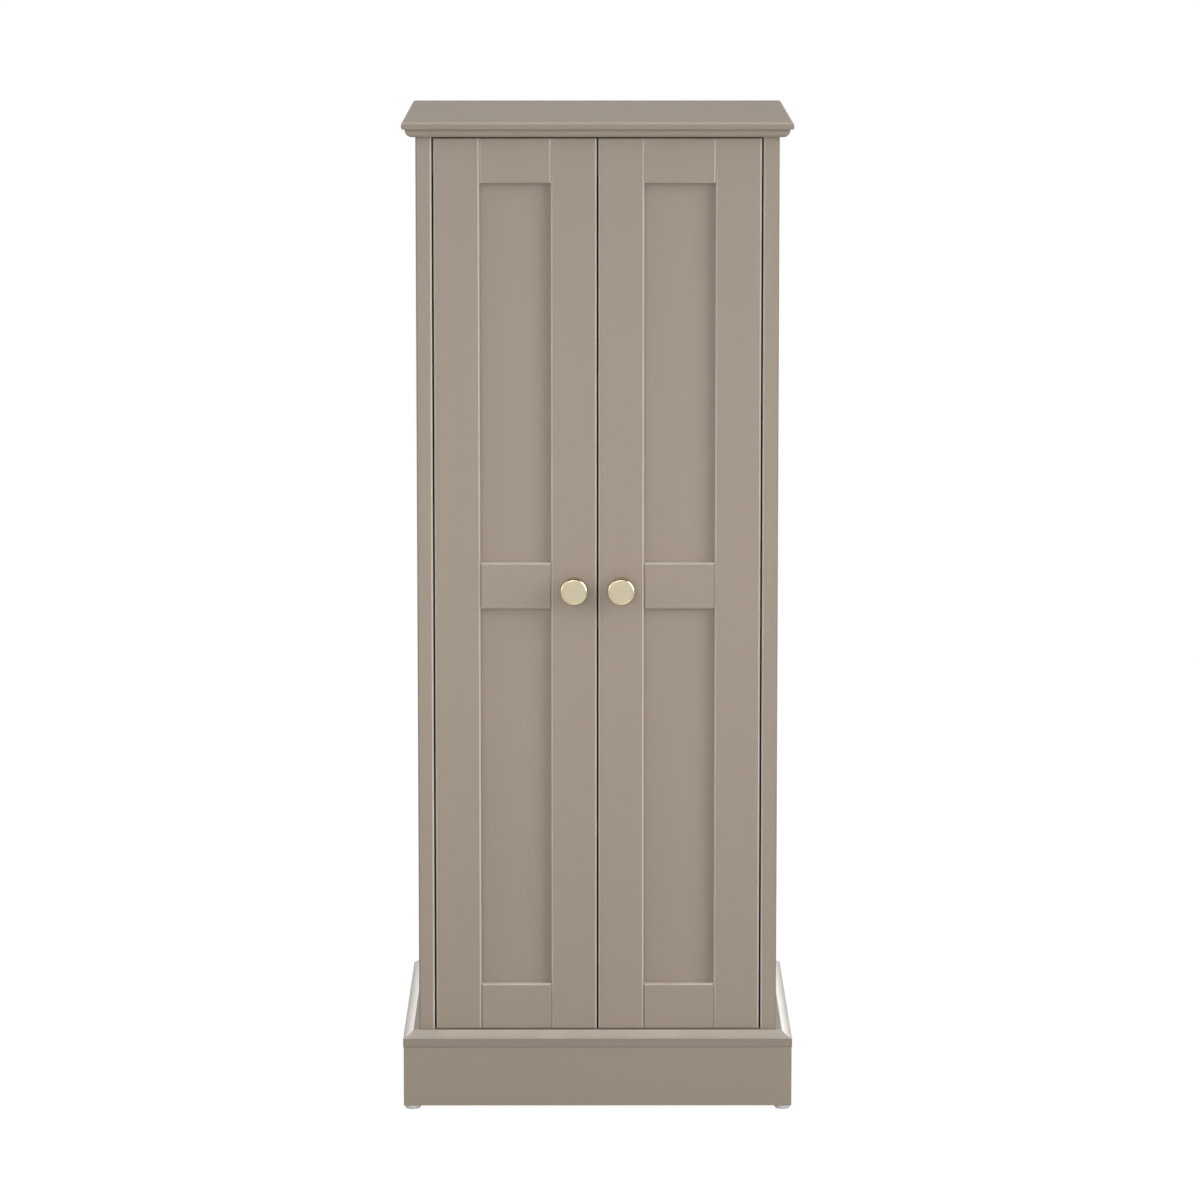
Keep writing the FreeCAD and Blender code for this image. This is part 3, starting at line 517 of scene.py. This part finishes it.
# Knobs: turned, with a flat face, a rounded rim, a waist and a small foot
knob = {
    "profile": [  # radius and depth behind the face
        (0, 0), (12.5, 0), (12.8, 0), (13.0, 0.2), (13.2, 0.02), (13.5, 0.06), (13.75, 0.26), (14.2, 0.5),
        (14.65, 0.82), (15.0, 1.2), (15.28, 1.65), (15.43, 2.1), (15.5, 2.6), (15.5, 12.5), (15.35, 13.2),
        (14.95, 13.75), (14.3, 14.0), (8.3, 14.0), (7.2, 14.5), (6.6, 15.5), (6.5, 17.0), (6.5, 20.4), (6.8, 21.5),
        (7.6, 22.3), (8.2, 22.6), (8.5, 23.0), (8.5, 24.7), (8.3, 25.0), (2.3, 25.0), (2.3, 13.5), (0, 12.9)],
    "steps": 96,
    "smoothTo": 28,
}


def makeKnobs():
    profile = [(radius, -depth) for radius, depth in knob["profile"]]
    for side in ("left", "right"):
        low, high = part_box(side + "_knob")
        face = ((low[0] + high[0]) / 2, low[1], (low[2] + high[2]) / 2)
        whole = bmesh.new()
        joinInto(whole, spunShape(profile, knob["steps"]), turnedTo((0, -1, 0), face))
        finishPiece(side + "KnobTurned", whole, "brass", side + "_door", [side + "_knob"], knob["smoothTo"])


makeKnobs()
print("knobs made")


# Glides: moulded buttons under the plinth's corners, each with a hollow for its nail
glide = {
    "profile": [  # radius and height over the floor, downwards
        (0, -1.8), (3.62, -1.8), (3.62, -0.5), (3.9, -0.1), (4.6, 0), (6.8, 0), (8.0, -0.35), (8.8, -1.1), (9.2, -2.0),
        (9.3, -3.0), (9.3, -4.4), (9.0, -4.7), (9.0, -5.0), (0, -5.0)],
    "steps": 64,
}


def makeGlides():
    whole = bmesh.new()
    for points in solidsOf("foot_glides"):
        low, high = boxOf(points)
        place = ((low.x + high.x) / 2, (low.y + high.y) / 2, 0)
        joinInto(whole, spunShape(glide["profile"], glide["steps"]), turnedTo((0, 0, -1), place))
    finishPiece("footGlidesMoulded", whole, "glide_plastic", "cabinet", ["foot_glides"])


makeGlides()
print("glides made")


# Screws: countersunk or domed heads with a cross recess. Shares are of the head's radius or its dome's height
screwCuts = {
    "headShare": 0.99,  # of the CAD head's radius
    "crossWidth": 0.24,
    "crossReach": 0.68,
    "crossDepth": 0.42,
    "crossTaper": 0.62,
    "cornerReach": 1.1,  # of the cross's reach; grid corners farther out are drawn in
    "crownRadius": 0.9,
    "crownHeight": 0.82,
    "rimHeight": 0.3,
    "rimDrop": 0.00012,
    "tip": 0.003,
    "tipRadius": 0.1,  # of the shank's
}


def vertsIn(items):
    return [item for item in items if isinstance(item, bmesh.types.BMVert)]


def screwShape(headRadius, headDepth, shankRadius, length, panHead=0.0):
    # head's rim at Z = 0, shank down; a pan head stands panHead above it
    shape = bmesh.new()
    bmesh.ops.create_grid(shape, x_segments=3, y_segments=3, size=1)
    width = headRadius * screwCuts["crossWidth"] / 2
    reach = headRadius * screwCuts["crossReach"]
    for vert in shape.verts:
        vert.co.x = (width if abs(vert.co.x) < 0.5 else reach) * (1 if vert.co.x > 0 else -1)
        vert.co.y = (width if abs(vert.co.y) < 0.5 else reach) * (1 if vert.co.y > 0 else -1)
        if vert.co.xy.length > reach * screwCuts["cornerReach"]:
            vert.co.xy = vert.co.xy.normalized() * reach
        vert.co.z = panHead
    cross = []
    for face in shape.faces:
        centre = face.calc_center_median()
        if min(abs(centre.x), abs(centre.y)) < width / 2:
            cross.append(face)
    rings = [(headRadius * screwCuts["crownRadius"], panHead * screwCuts["crownHeight"]),
             (headRadius, panHead * screwCuts["rimHeight"] - screwCuts["rimDrop"])]
    if panHead:
        rings += [(headRadius, 0)]
    rings += [(shankRadius, -headDepth), (shankRadius, -(length - screwCuts["tip"])),
              (shankRadius * screwCuts["tipRadius"], -length)]
    rim = [edge for edge in shape.edges if edge.is_boundary]
    for radius, height in rings:
        grown = bmesh.ops.extrude_edge_only(shape, edges=rim)["geom"]
        for vert in vertsIn(grown):
            vert.co.xy = vert.co.xy.normalized() * radius
            vert.co.z = height
        rim = [item for item in grown if isinstance(item, bmesh.types.BMEdge)]
    bmesh.ops.edgeloop_fill(shape, edges=rim)
    sunk = bmesh.ops.extrude_face_region(shape, geom=cross)["geom"]
    bmesh.ops.delete(shape, geom=cross, context="FACES")
    for vert in vertsIn(sunk):
        vert.co.z -= headRadius * screwCuts["crossDepth"]
        vert.co.xy *= screwCuts["crossTaper"]
    return shape


boardScrew = {"headDepth": 2.0, "shank": 1.8}
smallScrew = {"headDepth": 1.0, "shank": 1.4}
knobScrew = {"headDepth": 0.05, "shank": 2.0, "pan": 2.2}
screwSets = {
    "plinthScrewsDriven": ("plinth_screws", "cabinet", boardScrew),
    "plateScrewsDriven": ("hinge_plate_screws", "cabinet", boardScrew),
    "catchScrewsDriven": ("catch_screws", "cabinet", smallScrew),
    "leftCupScrewsDriven": ("left_cup_screws", "left_door", smallScrew),
    "rightCupScrewsDriven": ("right_cup_screws", "right_door", smallScrew),
    "leftStrikeScrewDriven": ("left_strike_screw", "left_door", smallScrew),
    "rightStrikeScrewDriven": ("right_strike_screw", "right_door", smallScrew),
    "leftKnobScrewDriven": ("left_knob_screw", "left_door", knobScrew),
    "rightKnobScrewDriven": ("right_knob_screw", "right_door", knobScrew),
}


def makeScrews():
    for name, (node, body, sort) in screwSets.items():
        whole = bmesh.new()
        pan = sort.get("pan", 0) / perMetre
        for start, direction, length, radius in pegsOf(node):
            shape = screwShape(radius * screwCuts["headShare"], sort["headDepth"] / perMetre, sort["shank"] / perMetre,
                               length - pan, pan)
            joinInto(whole, shape, turnedTo(-direction, start + direction * pan))
        finishPiece(name, whole, "zinc", body, [node])


makeScrews()
print("screws made")


# Hinges: pressed parts with rolled edges, and two adjusting screws on each arm
hinge = {
    "roll": 0.00035,
    "rollSegments": 2,
    "pressed": {
        "hingePlatesPressed": ("hinge_plates", "cabinet"),
        "leftHingeCupsPressed": ("left_hinge_cups", "left_door"),
        "rightHingeCupsPressed": ("right_hinge_cups", "right_door"),
        "leftHingeLinksPressed": ("left_hinge_links", "left_links"),
        "rightHingeLinksPressed": ("right_hinge_links", "right_links"),
    },
    "adjusters": (0.225, 0.465),  # share of the arm's length from its back end
    "adjuster": (0.0031, 0.0008, 0.0018, 0.0045, 0.0011),  # head radius and depth, shank radius, length, dome
    "backZone": 0.001,
}


def makeHinges():
    for name, (node, body) in hinge["pressed"].items():
        finishPiece(name, softenedCopy(node, hinge["roll"], hinge["rollSegments"]), "nickel", body, [node])
    arms = softenedCopy("hinge_arms", hinge["roll"], hinge["rollSegments"])
    for points in solidsOf("hinge_arms"):
        low, high = boxOf(points)
        side = 1 if low.x + high.x > 0 else -1
        back = [point for point in points if point.y > high.y - hinge["backZone"]]
        top = min(abs(point.x) for point in back) * side  # the web's face towards the middle
        for share in hinge["adjusters"]:
            place = Vector((top, high.y - (high.y - low.y) * share, (low.z + high.z) / 2))
            joinInto(arms, screwShape(*hinge["adjuster"]), turnedTo((-side, 0, 0), place))
    finishPiece("hingeArmsPressed", arms, "nickel", "cabinet", ["hinge_arms"])


makeHinges()
print("hinges made")


# Small fittings: shelf pins, bumpers, strike plates, catches and cams
fittings = {
    "bumperDome": [(0, 0), (2.2, 0.05), (3.8, 0.45), (4.7, 1.2), (5.0, 2.2), (5.0, 3.7), (0, 3.7)],
    "bumperDepth": 3.7,
    "bumperSteps": 40,
    "plateRoll": (0.0003, 2),  # width and segments of each rounding
    "caseRoll": (0.0007, 3),
    "castRoll": (0.00025, 2),
    "softened": [
        ("catchCasesMoulded", "catch_cases", "caseRoll", "catch_plastic"),
        ("camLocksCast", "cam_locks", "castRoll", "zinc"),
        ("shelfPinsTurned", "shelf_pins", "castRoll", "zinc"),
    ],
}


def makeFittings():
    for side in ("left", "right"):
        bumpers, plate, door = side + "_bumpers", side + "_strike_plate", side + "_door"
        whole = bmesh.new()
        for points in solidsOf(bumpers):
            low, high = boxOf(points)
            stretch = (high.y - low.y) * perMetre / fittings["bumperDepth"]
            profile = [(radius, -depth * stretch) for radius, depth in fittings["bumperDome"]]
            place = ((low.x + high.x) / 2, high.y, (low.z + high.z) / 2)
            joinInto(whole, spunShape(profile, fittings["bumperSteps"]), turnedTo((0, 1, 0), place))
        finishPiece(side + "BumpersDomed", whole, "soft_rubber", door, [bumpers])
        finishPiece(side + "StrikePlatePressed", softenedCopy(plate, *fittings["plateRoll"]), "nickel", door, [plate])
    for name, node, roll, slot in fittings["softened"]:
        finishPiece(name, softenedCopy(node, *fittings[roll]), slot, "cabinet", [node])


makeFittings()
print("fittings made")


# Studio: white floor that keeps a faint shadow, large soft lamps around the cabinet
studio = {
    "floorRadius": 4.0,
    "floorSides": 96,
    "floorColour": 0.08,
    "floorBounce": 0.47,  # what the floor sends back up to the cabinet
    "floorLift": 0.96,
    "fade": (1.2, 3.4),  # radii between which the floor turns into the sky
    "skyLight": 0.4,
    "ceiling": (0.3, 0.75),  # heights of a ray's direction between which the white turns to a darker ceiling
    "ceilingTone": 0.2,
    "white": (1, 1, 1, 1),
    "aim": (0, 0, 0.6),
    "lamps": {
        "rightLamp": {"place": (3.95, -2.47, 2.5), "size": (2.5, 4.2), "power": 138},
        "leftLamp": {"place": (-3.8, -0.9, 2.6), "size": (1.8, 4.2), "power": 50},
        "frontLamp": {"place": (-1.6, -5.2, 2.3), "size": (4.6, 3.4), "power": 41},
        "middleLamp": {"place": (-0.3, -3.4, 1.2), "size": (2.4, 0.5), "power": 0.78,
                       "spread": 25, "aim": (0, -0.19, 0.54)},  # a narrow beam on the doors' middle
        "topLamp": {"place": (0, 1.7, 3.7), "size": (2.6, 1.8), "power": 11},
        "backRightLamp": {"place": (2.0, 3.3, 0.9), "size": (2.0, 1.6), "power": 42},
        "backLeftLamp": {"place": (-2.0, 3.3, 0.9), "size": (2.0, 1.6), "power": 30},
    },
}


def seenShare(tree):
    # 1 for what the camera sees, also in gloss and through clear pieces, and 0 for light that bounces
    path = tree.nodes.new("ShaderNodeLightPath").outputs
    seen = calc(tree, "ADD", path["Is Camera Ray"], path["Is Glossy Ray"])
    return calc(tree, "ADD", seen, path["Is Transmission Ray"], use_clamp=True)


def makeFloor():
    material = bpy.data.materials.new("studioWhite")
    material.use_nodes = True
    tree = material.node_tree
    tree.nodes.clear()
    seen = seenShare(tree)
    lift = calc(tree, "MULTIPLY", seen, studio["floorLift"])
    glow = addNode(tree, "ShaderNodeEmission", {}, Color=studio["white"], Strength=lift)
    grey = mapped(tree, seen, 0.0, 1.0, studio["floorBounce"], studio["floorColour"])
    matt = addNode(tree, "ShaderNodeBsdfDiffuse", {}, Color=grey)
    both = addNode(tree, "ShaderNodeAddShader", {}, i0=glow.outputs[0], i1=matt.outputs[0])
    clear = tree.nodes.new("ShaderNodeBsdfTransparent")
    reach = lengthOf(tree, tree.nodes.new("ShaderNodeTexCoord").outputs["Object"])
    fade = mapped(tree, reach, *studio["fade"], curve="SMOOTHSTEP")
    mix = addNode(tree, "ShaderNodeMixShader", {}, i0=fade, i1=both.outputs[0], i2=clear.outputs[0])
    addNode(tree, "ShaderNodeOutputMaterial", {}, Surface=mix.outputs[0])
    shape = bmesh.new()
    bmesh.ops.create_circle(shape, cap_ends=True, segments=studio["floorSides"], radius=studio["floorRadius"])
    floor = newObject("studioFloor", shape, material)


def makeSky():
    world = bpy.data.worlds.new("studioSky")
    bpy.context.scene.world = world
    world.use_nodes = True
    tree = world.node_tree
    tree.nodes.clear()
    way = partsOf(tree, tree.nodes.new("ShaderNodeTexCoord").outputs["Generated"])
    tone = mapped(tree, way["Z"], *studio["ceiling"], 1.0, studio["ceilingTone"], curve="SMOOTHSTEP")
    soft = addNode(tree, "ShaderNodeBackground", {}, Color=studio["white"], Strength=studio["skyLight"])
    bright = addNode(tree, "ShaderNodeBackground", {}, Color=studio["white"], Strength=tone)
    mix = addNode(tree, "ShaderNodeMixShader", {}, i0=seenShare(tree), i1=soft.outputs[0], i2=bright.outputs[0])
    addNode(tree, "ShaderNodeOutputWorld", {}, Surface=mix.outputs[0])


def makeLamps():
    for name, lamp in studio["lamps"].items():
        light = bpy.data.lights.new(name, "AREA")
        light.shape = "RECTANGLE"
        light.size, light.size_y = lamp["size"]
        light.energy = lamp["power"]
        light.spread = radians(lamp.get("spread", 180))
        holder = bpy.data.objects.new(name, light)
        holder.location = lamp["place"]
        aim = Vector(lamp.get("aim", studio["aim"]))
        holder.rotation_euler = (aim - Vector(lamp["place"])).to_track_quat("-Z", "Y").to_euler()
        bpy.context.scene.collection.objects.link(holder)


makeFloor()
makeSky()
makeLamps()
print("studio set")
